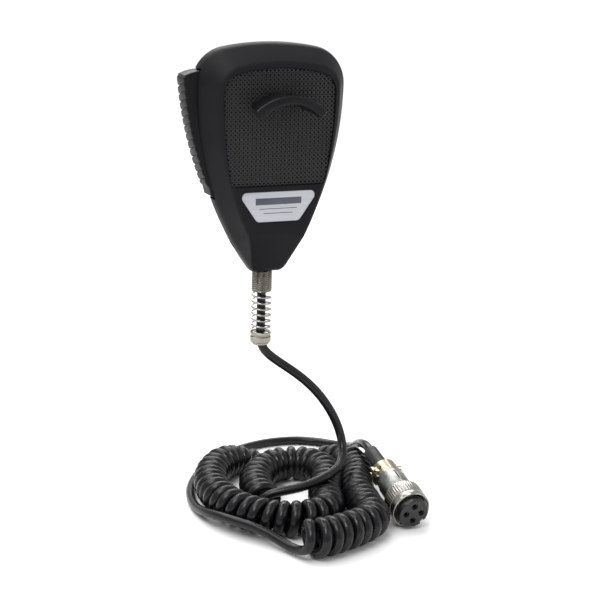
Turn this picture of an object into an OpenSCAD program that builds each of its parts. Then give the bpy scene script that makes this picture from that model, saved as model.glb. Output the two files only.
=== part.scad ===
/* [Case] */
// Width of the case at its widest
body_w = 71; // [70:0.5:73]
// Height of the case above the hanger button
body_up = 42; // [40:0.5:44]
// Depth of the case below the hanger button
body_down = 62; // [61:0.5:64]
// Radius of the two upper corners
corner_r = 17; // [16:0.5:18]
// Radius of the slow curve of each flank
flank_r = 142; // [140:1:150]
// Radius of the crown
crown_r = 118; // [114:1:124]
// Thickness of the case wall
wall = 2.2; // [1.8:0.1:2.4]
// Thickness of the flat front wall
front_wall = 3.2; // [3:0.1:3.4]
// Distance from the button to the back of the case
back_y = 2.5; // [2.3:0.1:2.7]
// Distance from the button to the joint of the two shells
joint_y = 14; // [13.8:0.1:14.2]
// Distance from the button to where the front bevel starts
bevel_y = 26.5; // [26.4:0.1:26.8]
// Distance from the button to the flat front
front_y = 38; // [37.8:0.1:38.4]

// How much narrower each side is at the joint of the shells than at the bevel
flank_draft = 2.7; // [2.4:0.1:2.9]

/* [Front] */
// Half width of the flat front
face_half_w = 28.2; // [27.8:0.1:28.6]
// Top of the flat front
face_top = 34; // [33.6:0.1:34.4]
// Lowest point of the flat front
face_bottom = 43; // [42.6:0.1:43.6]
// Half width of the grille at its widest
grille_half_w = 26.5; // [26.2:0.1:26.7]
// Top of the grille
grille_top = 32; // [31.8:0.1:32.3]
// Depth of the mesh behind the flat front
mesh_set_back = 0.8; // [0.6:0.1:1]
// Spacing of the mesh openings
mesh_pitch = 4.2; // [4:0.1:5]
// How far the lip guide stands out from the flat front
guide_out = 12.5; // [10:0.5:14]

/* [Talk bar] */
// Width of the talk bar, front to back
bar_w = 10; // [9:0.1:10.2]
// Radius of the curve of the bar's outer edge
bar_r = 165; // [160:1:170]
// Number of grip grooves
grooves = 13; // [8:1:15]
// Talk bar pivot pin diameter
pivot_d = 2; // [1.8:0.1:2.2]

/* [Cord] */
// Diameter of the straight cord
cord_d = 4.3; // [4:0.1:4.4]
// Outer diameter of the curly cord
curl_d = 17; // [16.6:0.1:17]
// Height of the hanger button above the surface under the cord
drop = 174; // [174:1:174]

/* [Plug] */
// Outer diameter of the lock ring
ring_d = 18.4; // [18:0.1:18.6]
// Bore of the lock ring, the minor diameter of its thread
ring_bore_d = 14.9; // [14.8:0.1:15]
// Diameter of the insert that holds the contacts
insert_d = 14.5; // [14.2:0.1:14.6]
// Diameter of the hole in each contact
socket_d = 2.2; // [2:0.1:2.4]

/* [Hidden] */
$fn = 48;
eps = 0.01;
black = "#1d1e20";
soft_black = "#2a2b2e";
nickel = "#c9c6bd";
steel = "#a9abad";
brass = "#b99a52";

half_w = body_w / 2;
belt_y = 20;              // the case is widest from here to the front bevel
axis_y = -20;             // the bushing, the spring and the start of the cord
cord_r = cord_d / 2;
curl_r = curl_d / 2;
ground = -drop;

// talk bar
bar_front = -26.5;
bar_back = bar_front + bar_w;
bar_centre = [bar_r - 41.5, 40.5];
bar_top = 27.3;
pivot = [-22, -20];
plunger_z = 12;
slot_gap = 0.35;

// case screws, in the plane of the joint
case_screw_at = [[-18.5, 30.5], [18.5, 30.5], [0, -33]];
board_screw_at = [[-9, -24], [9, -24]];
switch_screw_at = [[-19.75, 1.5], [-19.75, 18.5]];
clamp_screw_at = [[-7, -44], [7, -44]];

// bushing, spring and collar
guide_top = 21.1;
bushing_top = -50;
bushing_end = -72.4;
spring_end = -91.6;
collar_end = -97.8;
collar_r = 4.9;
bushing_r = 4.85;
spring_r = 4.85;
spring_wire_r = 0.46;
spring_turns = 6.5;

// plug: centre of the lock ring's rim, its tilt and its turn
plug_at = [51.5, -80.5, -165];
plug_tilt = 13;
plug_turn = -3;
ring_travel_end = -5.1;
insert_out = 3;
contact_at = 3.7;

// Routes, as points on the centreline of each stretch
upper_route = [[0, axis_y, -58], [0, axis_y, -72], [0, axis_y, -86], [0, axis_y, -97.9],
    [1.7, -20.4, -101.2], [6.5, -21.5, -105.4], [13, -23.5, -110], [19.5, -26, -115],
    [25.5, -28.5, -121], [30.5, -30.8, -128], [34.5, -32.2, -135.5], [37, -33, -142.5],
    [37.2, -35.8, -148.6], [34.6, -41, -152.3], [30, -46.5, -153.8], [24.5, -51, -154.3],
    [19, -54, -154.7], [14, -54.8, -156], [10.4, -54.6, -159.4], [7.6, -54.6, -163.6],
    [3.6, -55, -166.4], [-1, -55.4, -167.4], [-4.6, -54.6, -167], [-6.3, -52.4, -166],
    [-6.5, -49.52, -165.4]];
curl_z = ground + curl_r;
curl_route = [[-6.5, -49.5], [-6.2, -39.5], [-4, -29], [0.5, -18.5], [8, -9.5], [17.5, -4.6],
    [26.8, -5.8], [33, -12], [34.5, -20.8], [32.3, -29.6], [28, -38], [24, -46], [20.8, -53.8],
    [18, -61.8], [13, -68], [5, -71], [-4, -69.8], [-11.5, -65.5], [-17.5, -58.5], [-21.8, -50],
    [-24.2, -40.5], [-24.6, -30.5], [-23.2, -20.2], [-20, -10.2], [-14.8, -1.2], [-7.7, 5.9],
    [1.5, 11], [11, 13.6], [21, 13.8], [31.5, 10.7], [40.5, 4.6], [47.5, -4], [51.4, -13.5],
    [51.2, -23.2], [47.3, -33], [41.6, -43], [37.6, -53], [36, -61.5], [34, -69.5],
    [33.2, -76.5], [30, -82.8], [23.8, -87.2], [16, -90.4], [8, -93], [0, -94.8], [-8, -95]];
// Places along that route where the turns are pulled out thin, and the radius there
thin_from = 26;
thin_to = 31;
thin_r = 4.6;
// The last turns, next to the plug's lead, are wider than the rest
wide_from = 40;
wide_r = 9.3;
lower_route = [[-8.4, -97.2, -170.2], [-9.4, -93, -171.6], [-12, -86.6, -170.8],
    [-15.4, -79.6, -168.8], [-21.4, -70.6, -166.8], [-26.6, -63, -166.4], [-31, -54.5, -166.8],
    [-34, -45, -168.2], [-34.8, -34, -170.4], [-33.6, -22.5, -171.6], [-30.6, -11, -171.8],
    [-25.6, 0.5, -171.8], [-18, 12, -171.8], [-8.5, 22.5, -171.8], [3.5, 32, -171.8],
    [17, 38.6, -171.8], [31.5, 41.6, -171.8], [45.5, 40, -171.8], [56, 34, -171.8],
    [61.8, 24.5, -170.8], [63.3, 13.5, -168], [61.6, 2.5, -163.8], [58.9, -7.8, -158.6],
    [56.5, -17.3, -155], [54.9, -25.2, -153.2], [54.05, -31.85, -153.75], [53.6, -40.6, -155.78]];

// --- functions ---------------------------------------------------------------

function unit(v) = v / norm(v);

// Points of an arc from angle a to angle b
function arc(c, r, a, b, n) = [for (i = [0:n]) c + r * [cos(a + (b - a) * i / n), sin(a + (b - a) * i / n)]];

// Half of the shield outline: crown, corner, flank and foot, each tangent to the next
function half_shield(w, top, foot, cr, fr, kr, br, inset) = let(
        corner_x = w - cr,
        corner_z = top - kr + sqrt(pow(kr - cr, 2) - pow(corner_x, 2)),
        flank_c = [w - fr, corner_z],
        crown_c = [0, top - kr],
        crown_a = atan2(corner_z - crown_c[1], corner_x),
        foot_z = foot + br,
        foot_x = flank_c[0] + sqrt(pow(fr - br, 2) - pow(corner_z - foot_z, 2)),
        flank_a = atan2(foot_z - corner_z, foot_x - flank_c[0]),
        foot_r = inset < br - 0.8 ? br - inset : 0.8 * (br - 0.8) / inset)
    concat(arc(crown_c, kr - inset, 90, crown_a, 8),
        arc([corner_x, corner_z], cr - inset, crown_a, 0, 12),
        arc(flank_c, fr - inset, 0, flank_a, 16),
        arc([foot_x, foot_z], foot_r, flank_a, -90, 4));

function mirrored(p) = concat(p, [for (i = [len(p) - 1:-1:0]) [-p[i][0], p[i][1]]]);

// Outline of the case, drawn in by inset
function case_outline(inset = 0) =
    mirrored(half_shield(half_w, body_up, -body_down, corner_r, flank_r, crown_r, 3, inset));
function face_outline(inset = 0) =
    mirrored(half_shield(face_half_w, face_top, -face_bottom, 10, 150, 90, 2.5, inset));
function grille_outline(inset = 0) =
    mirrored(half_shield(grille_half_w, grille_top, -20.2, 9, 200, 80, 3, inset));
function back_outline(inset = 0) =
    mirrored(half_shield(25.6, 34, -51, 13, 150, 110, 3, inset));

// Directions along a route
function along(p) = [for (i = [0:len(p) - 1])
    unit(p[min(i + 1, len(p) - 1)] - p[max(i - 1, 0)])];

// Sideways directions carried along the route without twisting
function sideways(t, start) = [for (i = 0, u = unit(start - (start * t[0]) * t[0]); i < len(t);
    i = i + 1, u = i < len(t) ? unit(u - (u * t[i]) * t[i]) : u) u];

// --- helpers -----------------------------------------------------------------

// A closed round tube swept along a route, with a radius at each point
module swept(p, r, sides, start = [0, 0, 1]) {
    t = along(p);
    u = sideways(t, start);
    n = len(p);
    pts = [for (i = [0:n - 1], k = [0:sides - 1]) let(a = 360 * k / sides)
        p[i] + r[i] * (cos(a) * u[i] + sin(a) * cross(t[i], u[i]))];
    walls = [for (i = [0:n - 2], k = [0:sides - 1]) let(m = (k + 1) % sides)
        [i * sides + k, (i + 1) * sides + k, (i + 1) * sides + m, i * sides + m]];
    first = [[for (k = [0:sides - 1]) k]];
    last = [[for (k = [sides - 1:-1:0]) (n - 1) * sides + k]];
    polyhedron(pts, concat(first, walls, last), 4);
}

// An outline in the plane of the front, from distance near to distance far in front of the button
module slab(near, far) {
    translate([0, -near, 0]) rotate([90, 0, 0]) linear_extrude(far - near) children();
}

// A round post or hole along Y at a place in the plane of the front
module post(at, near, far, r) {
    translate([at[0], -near, at[1]]) rotate([90, 0, 0]) cylinder(r = r, h = far - near);
}

// A screw along Y: the head ends at distance near
module screw_y(at, near, head_r, head_h, shank_r, length) {
    difference() {
        union() {
            post(at, near, near + head_h, head_r);
            post(at, near + head_h - eps, near + head_h + length, shank_r);
        }
        for (a = [0, 90])
            translate([at[0], -near, at[1]]) rotate([0, a, 0])
                cube([head_r * 1.3, head_h, head_r * 0.28], center = true);
    }
}

module in_plug_frame() {
    translate(plug_at) rotate([90 + plug_tilt, 0, plug_turn]) children();
}

// --- case --------------------------------------------------------------------

module front_solid(inset, front, past_joint = 0) {
    hull() {
        slab(joint_y - past_joint, joint_y + 1) polygon(case_outline(inset + flank_draft));
        slab(belt_y, bevel_y) polygon(case_outline(inset));
        slab(front - 0.8, front - 0.4) polygon(face_outline(inset - 0.5));
        slab(front - 0.4, front) polygon(face_outline(inset));
    }
}

module badge_outline(grow) {
    hull()
        for (p = [[-15.2, -24.9], [15.2, -24.9], [8.9, -33.9], [-8.9, -33.9]])
            translate(p) circle(r = 2.3 + grow, $fn = 32);
}

module bar_slot() {
    translate([-46, bar_front - slot_gap, -27.2])
        cube([23.4, bar_w + 2 * slot_gap, 58]);
}

module front_shell() color(black) difference() {
    union() {
        difference() {
            front_solid(0, front_y);
            front_solid(wall, front_y - front_wall, 1);
        }
        // bosses that stand on the inside of the front wall
        intersection() {
            front_solid(0.5, front_y - 0.5);
            union() {
                for (p = case_screw_at) post(p, joint_y, front_y - 1, 3);
                for (p = board_screw_at) post(p, 20, front_y - 1, 2.1);
                for (p = switch_screw_at) {
                    post(p, 25.5, 32, 2);
                    translate([-34, -32, p[1] - 1.5]) cube([34 + p[0], 4.8, 3]);
                }
                for (p = clamp_screw_at) post(p, 22.2, front_y - 1, 2.4);
                post(pivot, 27.1, front_y - 1, 2.6);
                translate([-8, -26.5, -61.8]) cube([16, 12.5, 6.8]);
            }
        }
    }
    slab(front_y - mesh_set_back - 0.9, front_y + 1) polygon(grille_outline());
    slab(front_y - front_wall - 1, front_y) polygon(grille_outline(1.6));
    slab(front_y - 1, front_y + 1) badge_outline(0.15);
    bar_slot();
    for (p = case_screw_at) post(p, joint_y - 1, joint_y + 14, 1.5);
    for (p = board_screw_at) post(p, 19, 27, 1.05);
    for (p = switch_screw_at) post(p, 24, 32, 1.05);
    for (p = clamp_screw_at) post(p, 21, 29, 1.05);
    post(pivot, 26, 31.2, pivot_d / 2 + 0.02);
    translate([0, axis_y, -63]) cylinder(r = bushing_r + 0.05, h = 10);
}

module rear_solid(inset, back) {
    hull() {
        slab(joint_y - 2, joint_y + (inset > 0 ? 1 : 0)) polygon(case_outline(inset + flank_draft));
        slab(back + 2.6, back + 3.2) polygon(back_outline(inset - 3.4));
        slab(back, back + 0.6) polygon(back_outline(inset));
    }
}

module rear_shell() color(black) difference() {
    union() {
        difference() {
            rear_solid(0, back_y);
            rear_solid(wall, back_y + wall);
        }
        intersection() {
            union() {
                rear_solid(0.4, back_y + 0.4);
                post(pivot, joint_y - eps, 16.1, 2.6);
            }
            union() {
                for (p = case_screw_at) post(p, back_y + 1, joint_y, 4);
                post(pivot, back_y + 1, 16.1, 2.6);
                post([0, 0], back_y + 1, 7, 5);
            }
        }
    }
    for (p = case_screw_at) {
        post(p, back_y - 1, 7, 3.1);
        post(p, 6, joint_y + 1, 1.6);
    }
    post(pivot, 11, 17, pivot_d / 2 + 0.02);
    post([0, 0], back_y - 1, 8, 2.05);
    // rear sound ports
    for (row = [0:4])
        for (side = [-1, 1])
            translate([side * 7.5, -back_y, 12 + 3.2 * row]) cube([11, 7, 1.4], center = true);
}

// --- front trim --------------------------------------------------------------

module grille_mesh() color(soft_black)
    slab(front_y - mesh_set_back - 0.9, front_y - mesh_set_back) difference() {
        polygon(grille_outline(0.1));
        for (i = [-8:8], j = [-8:8]) {
            x = (i + (abs(j) % 2) / 2) * mesh_pitch;
            z = 4 + j * mesh_pitch * 0.75;
            if (abs(x) < 18.6 + (z + 19) * 0.12 && z > -17 && z < 28)
                translate([x, z]) rotate(45) square(mesh_pitch * 0.46, center = true);
        }
    }

module wind_screen() color("#141416")
    slab(front_y - front_wall + 0.1, front_y - mesh_set_back - 1) polygon(grille_outline(1.9));

// Section of the lip guide at its free edge: a crescent between two arcs with round tips,
// drawn from the middle of its upper edge
module crescent() {
    polygon(concat(arc([0, -25.2], 25.2, 50, 130, 28), arc([-14.8, -7.2], 1.9, 150, 290, 6),
        arc([0, -22.4], 18.6, 136, 44, 24), arc([14.8, -7.2], 1.9, 250, 390, 6)));
}

module lip_guide() color(soft_black)
    translate([0, -front_y - guide_out, guide_top]) rotate([-90, 0, 0]) mirror([0, 1, 0])
        linear_extrude(guide_out + mesh_set_back, scale = 0.8) crescent();

module badge_plate() color("#b9bcc2")
    slab(front_y - 1, front_y - 0.25) badge_outline(0);

// --- sound parts -------------------------------------------------------------

module mic_cartridge() color(steel) {
    post([0, 3], 24, 34.5, 13.8);
    post([0, 3], 19, 24 + eps, 9);
}

module cartridge_boot() color("#101012") difference() {
    post([0, 3], 26, 34.6, 16.3);
    post([0, 3], 25, 36, 13.82);
}

module rear_port_cloth() color("#141416")
    translate([-14, -6.2, 9.8]) cube([28, 0.9, 17.4]);

// --- talk bar ----------------------------------------------------------------

// Outer edge of the bar at a height
function bar_x(z) = bar_centre[0] - sqrt(bar_r * bar_r - pow(z - bar_centre[1], 2));

module bar_outline() {
    polygon(concat(
        [for (i = [0:17]) let(z = bar_top - i * 3) [bar_x(z), z]],
        [[-27.6, -25.6], [-26, -26.3], [-23.5, -25.6], [-21, -23.2], [-18.8, -20], [-19.6, -17.2],
        [-26.5, -8], [-28.6, 1], [-28.9, 8.4], [-24.3, 9], [-24.3, 15], [-28.9, 15.6],
        [-29.2, 22], [-28.4, 30.1], [-29.6, 30.3], [-34.8, 29.8]]));
}

module talk_bar() color(soft_black) difference() {
    slab(-bar_back, -bar_front) bar_outline();
    post(pivot, 10, 30, pivot_d / 2 + 0.06);
    // room for the coil of the return spring
    post(pivot, 10, 19.6, 4.4);
    // grip grooves across the outer edge
    for (i = [1:grooves]) {
        z = bar_top - 49 * i / (grooves + 1);
        translate([bar_x(z) - 0.2, -10, z]) rotate([90, 0, 0])
            cylinder(r = 0.75, h = 24, $fn = 24);
    }
}

module talk_bar_pin() color(steel) post(pivot, 11.2, 31, pivot_d / 2);

// A coil round the pin with one end on the shell's boss and the other on the bar
module talk_bar_spring() color(steel) {
    turns = 3.5;
    coil = [for (i = [0:12 * turns]) let(a = 30 * i)
        [pivot[0] + 2.1 * cos(a), -18.9 + 0.68 * i / 12, pivot[1] + 2.1 * sin(a)]];
    first = [pivot[0] + 2.1, -18.9, pivot[1] - 3.4];
    last = [pivot[0] - 2.1, coil[len(coil) - 1][1], pivot[1] - 3.4];
    path = concat([first], coil, [last]);
    swept(path, [for (p = path) 0.3], 6, [0, 1, 0]);
}

module switch_body() color("#3b2a22") difference() {
    translate([-22.5, -25.4, -0.8]) cube([5.5, 8.4, 21.6]);
    for (p = switch_screw_at) post(p, 16, 27, 1.06);
    translate([-23, -21.5, plunger_z]) rotate([0, 90, 0]) cylinder(r = 1.26, h = 5.4);
}

module switch_plunger() color("#c94f2e")
    translate([-24, -21.5, plunger_z]) rotate([0, 90, 0]) cylinder(r = 1.2, h = 4);

module switch_terminals() color(brass)
    for (z = [5, 9.5, 14]) difference() {
        translate([-17, -20.4, z - 1.1]) cube([3.2, 0.8, 2.2]);
        translate([-15, -19, z]) rotate([90, 0, 0]) cylinder(r = 0.5, h = 2);
    }

module switch_screws() color(steel)
    for (p = switch_screw_at) screw_y(p, 15.9, 1.7, 1.1, 1, 12);

// --- wiring ------------------------------------------------------------------

module terminal_board() color("#2f6b3c") difference() {
    translate([-12, -20, -27]) cube([24, 1.6, 18]);
    for (p = board_screw_at) post(p, 18, 21, 1.1);
}

module board_screws() color(steel)
    for (p = board_screw_at) screw_y(p, 17.2, 1.9, 1.2, 1, 6.5);

module inner_wires() {
    color("#b03030")
        swept([[-3, -17.6, -38.4], [-5, -17, -33], [-5.4, -17.4, -25], [-6, -17.9, -18]],
            [0.5, 0.5, 0.5, 0.5], 8, [0, 1, 0]);
    color("#d8d8d8")
        swept([[3, -17.6, -38.4], [5, -17, -33], [5.4, -17.4, -25], [6, -17.9, -18]],
            [0.5, 0.5, 0.5, 0.5], 8, [0, 1, 0]);
    color("#3050a0")
        swept([[-10, -17.9, -12], [-11.5, -17.2, -6], [-12.5, -18.4, 2], [-13.2, -20, 4.4]],
            [0.5, 0.5, 0.5, 0.5], 8, [0, 1, 0]);
}

module cord_clamp() color(steel) difference() {
    translate([-10, -22.1, -46.6]) cube([20, 6.2, 5.2]);
    translate([0, axis_y, -48]) cylinder(r = cord_r + 0.05, h = 8);
    translate([-cord_r - 0.05, -24, -48]) cube([2 * cord_r + 0.1, 4, 8]);
    for (p = clamp_screw_at) post(p, 15, 23, 1.1);
}

module cord_clamp_screws() color(steel)
    for (p = clamp_screw_at) screw_y(p, 14.7, 1.9, 1.2, 1, 9);

// --- hardware ----------------------------------------------------------------

module hanger_button() color(nickel) {
    post([0, 0], -2.4, 0, 6.35);
    post([0, 0], -eps, back_y, 3.1);
    post([0, 0], back_y - eps, 10.4, 2);
}

module hanger_nut() color(steel) difference() {
    translate([0, -7, 0]) rotate([90, 0, 0]) cylinder(r = 4, h = 2.4, $fn = 6);
    post([0, 0], 6, 10, 2.02);
}

module case_screws() color("#3a3a3c")
    for (p = case_screw_at) screw_y(p, 5.2, 2.9, 1.8, 1.42, 16);

module threaded_bushing() color(nickel) difference() {
    translate([0, axis_y, bushing_end]) cylinder(r = bushing_r, h = bushing_top - bushing_end);
    translate([0, axis_y, bushing_end - 1]) cylinder(r = cord_r + 0.35, h = 30);
    for (i = [0:9])
        translate([0, axis_y, bushing_end + 0.9 + i]) rotate_extrude()
            translate([bushing_r, 0]) circle(r = 0.28, $fn = 16);
}

module bushing_nut() color(nickel) difference() {
    translate([0, axis_y, -54.9]) cylinder(r = 7, h = 3, $fn = 6);
    translate([0, axis_y, -56]) cylinder(r = bushing_r + 0.02, h = 5);
}

module strain_spring() color(nickel) {
    r = spring_r - spring_wire_r;
    top = bushing_end - spring_wire_r - 0.02;
    length = bushing_end - spring_end - 2 * spring_wire_r - 0.04;
    steps = 16 * spring_turns;
    path = [for (i = [0:steps]) let(a = 360 * i / 16)
        [r * cos(a), axis_y + r * sin(a), top - length * i / steps]];
    swept(path, [for (p = path) spring_wire_r], 6, [0, 0, 1]);
}

module cord_collar() color(nickel) difference() {
    union() {
        translate([0, axis_y, spring_end - 2.6]) cylinder(r = collar_r, h = 2.6);
        translate([0, axis_y, spring_end - 3.2]) cylinder(r = collar_r - 0.5, h = 0.8);
        translate([0, axis_y, spring_end - 5.2]) cylinder(r = collar_r, h = 2.1);
        translate([0, axis_y, collar_end]) cylinder(r = collar_r - 0.9, h = 1.6);
    }
    translate([0, axis_y, collar_end - 1]) cylinder(r = cord_r + 0.02, h = 10);
}

// --- cord --------------------------------------------------------------------

module upper_lead() color(black)
    swept(concat([[0, axis_y, -38.6]], upper_route), [for (i = [0:len(upper_route)]) cord_r], 8,
        [1, 0, 0]);

module curly_cord() color(black) {
    p = [for (q = curl_route) [q[0], q[1], curl_z]];
    thin = [for (i = [0:len(p) - 1]) i > thin_from && i < thin_to ? 1 : 0];
    ease = [for (i = [0:len(p) - 1])
        (thin[max(i - 1, 0)] + 2 * thin[i] + thin[min(i + 1, len(p) - 1)]) / 4];
    r = [for (i = [0:len(p) - 1]) curl_r + (thin_r - curl_r) * ease[i]
        + (wide_r - curl_r) * max(0, i - wide_from) / (len(p) - 1 - wide_from)];
    low = [for (i = [0:len(p) - 1]) [p[i][0], p[i][1], curl_z - (curl_r - r[i])]];
    swept(low, r, 12);
}

module lower_lead() color(black)
    swept(lower_route, [for (q = lower_route) cord_r], 8);

// --- plug --------------------------------------------------------------------

module plug_sleeve() color(soft_black) in_plug_frame() difference() {
    translate([0, 0, -50]) cylinder(r1 = 3.4, r2 = 3.9, h = 17.5, $fn = 48);
    translate([0, 0, -51]) cylinder(r = cord_r + 0.1, h = 12);
}

module plug_clamp() color(nickel) in_plug_frame() {
    difference() {
        union() {
            translate([0, 0, -33.4]) cylinder(r = 6.3, h = 8);
            translate([-7, -2.6, -33.4]) cube([14, 5.2, 8]);
        }
        translate([0, 0, -34]) cylinder(r = 4, h = 10);
        translate([-9, -0.4, -34]) cube([18, 0.8, 10]);
        for (s = [-1, 1])
            translate([s * 5.35, 0, -29.6]) rotate([-90, 0, 0]) {
                translate([0, 0, -5]) cylinder(r = 0.95, h = 10);
                translate([0, 0, 2.6]) cylinder(r = 1.75, h = 4);
            }
    }
}

module plug_clamp_screws() color(nickel) in_plug_frame()
    for (s = [-1, 1]) difference() {
        union() {
            translate([s * 5.35, 2.6, -29.6]) rotate([-90, 0, 0]) cylinder(r = 1.7, h = 1.2);
            translate([s * 5.35, -2.4, -29.6]) rotate([-90, 0, 0]) cylinder(r = 0.9, h = 5.1);
        }
        translate([s * 5.35, 3.8, -29.6]) cube([4, 0.8, 0.5], center = true);
    }

module plug_shell() color("#b4b4b0") in_plug_frame() difference() {
    union() {
        translate([0, 0, -25.3]) cylinder(r = 6.6, h = 3.4);
        translate([0, 0, -22]) cylinder(r = 7.1, h = 17);
        translate([0, 0, ring_travel_end]) cylinder(r = ring_bore_d / 2 - 0.08, h = 1.3);
    }
    translate([0, 0, -26]) cylinder(r = 5.4, h = 23);
    translate([0, 5, -15.6]) rotate([-90, 0, 0]) cylinder(r = 0.85, h = 3);
}

module plug_ring_clip() color(steel) in_plug_frame() difference() {
    translate([0, 0, -12.3]) cylinder(r = 8.2, h = 0.8);
    translate([0, 0, -13]) cylinder(r = 7.18, h = 3);
}

module plug_lock_ring() color(nickel) in_plug_frame() difference() {
    union() {
        translate([0, 0, -11.4]) cylinder(r = ring_d / 2 - 0.5, h = 0.6);
        translate([0, 0, -10.9]) cylinder(r = ring_d / 2, h = 10.5);
        translate([0, 0, -0.5]) cylinder(r = ring_d / 2 - 0.4, h = 0.5);
    }
    translate([0, 0, -8.2]) cylinder(r = ring_bore_d / 2, h = 9);
    translate([0, 0, -1]) cylinder(r = ring_d / 2 - 0.9, h = 2);
    translate([0, 0, -12]) cylinder(r = 7.18, h = 5);
    for (a = [0:12:359])
        rotate(a) translate([ring_d / 2 + 0.12, 0, -9.8]) cylinder(r = 0.4, h = 6, $fn = 16);
}

module plug_insert() color("#161618") in_plug_frame() difference() {
    union() {
        translate([0, 0, -18]) cylinder(r = 5.38, h = 15);
        translate([0, 0, -3.8]) cylinder(r = insert_d / 2, h = 3.8 + insert_out);
    }
    for (a = [0:90:359])
        rotate(a) translate([contact_at, 0, -19]) cylinder(r = socket_d / 2 + 0.4, h = 24);
    rotate(45) translate([-1.1, -insert_d / 2 - 0.5, -3]) cube([2.2, 2.2, 7]);
}

module plug_contacts() color(brass) in_plug_frame()
    for (a = [0:90:359]) rotate(a) difference() {
        translate([contact_at, 0, -20]) cylinder(r = socket_d / 2 + 0.38, h = 18.6 + insert_out);
        translate([contact_at, 0, insert_out - 8.4]) cylinder(r = socket_d / 2, h = 8);
    }

module plug_set_screw() color(steel) in_plug_frame() difference() {
    translate([0, 5.5, -15.6]) rotate([-90, 0, 0]) cylinder(r = 0.8, h = 1.5);
    translate([0, 7, -15.6]) cube([1.7, 0.6, 0.35], center = true);
}

front_shell();
rear_shell();
grille_mesh();
wind_screen();
lip_guide();
badge_plate();
mic_cartridge();
cartridge_boot();
rear_port_cloth();
talk_bar();
talk_bar_pin();
talk_bar_spring();
switch_body();
switch_plunger();
switch_terminals();
switch_screws();
terminal_board();
board_screws();
inner_wires();
cord_clamp();
cord_clamp_screws();
hanger_button();
hanger_nut();
case_screws();
threaded_bushing();
bushing_nut();
strain_spring();
cord_collar();
upper_lead();
curly_cord();
lower_lead();
plug_sleeve();
plug_clamp();
plug_clamp_screws();
plug_shell();
plug_ring_clip();
plug_lock_ring();
plug_insert();
plug_contacts();
plug_set_screw();
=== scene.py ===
"""Hand microphone: the visual model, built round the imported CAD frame.

Shapes are drawn in millimetres in the row frame and turned into metres when a mesh is made.
"""
import math

import bmesh
import bpy
from mathutils import Matrix, Vector


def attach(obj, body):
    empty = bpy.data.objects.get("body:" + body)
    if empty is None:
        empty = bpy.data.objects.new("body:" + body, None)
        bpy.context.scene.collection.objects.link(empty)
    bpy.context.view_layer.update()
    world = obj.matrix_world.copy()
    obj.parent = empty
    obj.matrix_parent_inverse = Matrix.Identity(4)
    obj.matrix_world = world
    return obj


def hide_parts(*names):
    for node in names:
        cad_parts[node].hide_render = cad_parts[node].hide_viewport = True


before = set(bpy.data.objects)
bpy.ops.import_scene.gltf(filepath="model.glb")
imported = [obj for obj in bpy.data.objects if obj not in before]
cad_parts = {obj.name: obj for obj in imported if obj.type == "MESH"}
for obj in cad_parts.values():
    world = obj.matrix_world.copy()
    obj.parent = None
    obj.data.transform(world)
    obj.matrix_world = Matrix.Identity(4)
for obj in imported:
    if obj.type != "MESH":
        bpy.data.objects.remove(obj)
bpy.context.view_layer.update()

MM = 0.001
BODY = "microphone"
AXIS_Y = -20.0            # the bushing, the spring and the start of the cord
GROUND = -174.0
CORD_D = 4.3
TURN_D = 5.2              # the jacket is thicker where the cord is coiled
CURL_R = 8.5
PLUG_AT = (51.5, -80.5, -165.0)
PLUG_TILT = 13.0
PLUG_TURN = -3.0

# --- camera --------------------------------------------------------------------

HEADING = math.radians(24.0)
PITCH = math.radians(14.7)
ROLL = math.radians(-1.7)
CAMERA_AT = Vector((-0.2556, -0.6429, 0.0984))


def add_camera():
    ahead = Vector((math.sin(HEADING) * math.cos(PITCH), math.cos(HEADING) * math.cos(PITCH),
                    -math.sin(PITCH)))
    level = Vector((math.cos(HEADING), -math.sin(HEADING), 0.0))
    over = level.cross(ahead)
    right = level * math.cos(ROLL) - over * math.sin(ROLL)
    up = over * math.cos(ROLL) + level * math.sin(ROLL)
    data = bpy.data.cameras.new("camera")
    data.sensor_width = 36.0
    data.lens = 88.8
    data.clip_start = 0.01
    data.clip_end = 20.0
    camera = bpy.data.objects.new("camera", data)
    turn = Matrix((right, up, -ahead)).transposed()
    camera.matrix_world = Matrix.Translation(CAMERA_AT) @ turn.to_4x4()
    bpy.context.collection.objects.link(camera)
    bpy.context.scene.camera = camera


add_camera()

# --- small helpers ---------------------------------------------------------------


def lerp(a, b, t):
    return a + (b - a) * t


def arc(centre, r, start, end, n, skip_first=False):
    """Points of an arc in the plane of the front, angles in radians."""
    first = 1 if skip_first else 0
    return [(centre[0] + r * math.cos(lerp(start, end, i / n)),
             centre[1] + r * math.sin(lerp(start, end, i / n))) for i in range(first, n + 1)]


def catmull(points, steps):
    """A smooth curve through the points."""
    out = []
    for i in range(len(points) - 1):
        a, b = points[max(i - 1, 0)], points[i]
        c, d = points[i + 1], points[min(i + 2, len(points) - 1)]
        for k in range(steps):
            t = k / steps
            out.append(0.5 * (2 * b + (c - a) * t + (2 * a - 5 * b + 4 * c - d) * t * t
                              + (3 * b - 3 * c + d - a) * t ** 3))
    out.append(points[-1].copy())
    return out


def resample(points, spacing):
    """The same line with its points a fixed distance apart."""
    out = [points[0].copy()]
    left = spacing
    for a, b in zip(points, points[1:]):
        length = (b - a).length
        at = 0.0
        while length - at >= left:
            at += left
            out.append(a.lerp(b, at / length))
            left = spacing
        left -= length - at
    if (out[-1] - points[-1]).length > spacing * 0.3:
        out.append(points[-1].copy())
    else:
        out[-1] = points[-1].copy()
    return out


def relax(points, rounds):
    """Evens out a line, with its ends held."""
    for _ in range(rounds):
        inner = [(points[i - 1] + points[i] * 2 + points[i + 1]) / 4
                 for i in range(1, len(points) - 1)]
        points = [points[0]] + inner + [points[-1]]
    return points


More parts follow.
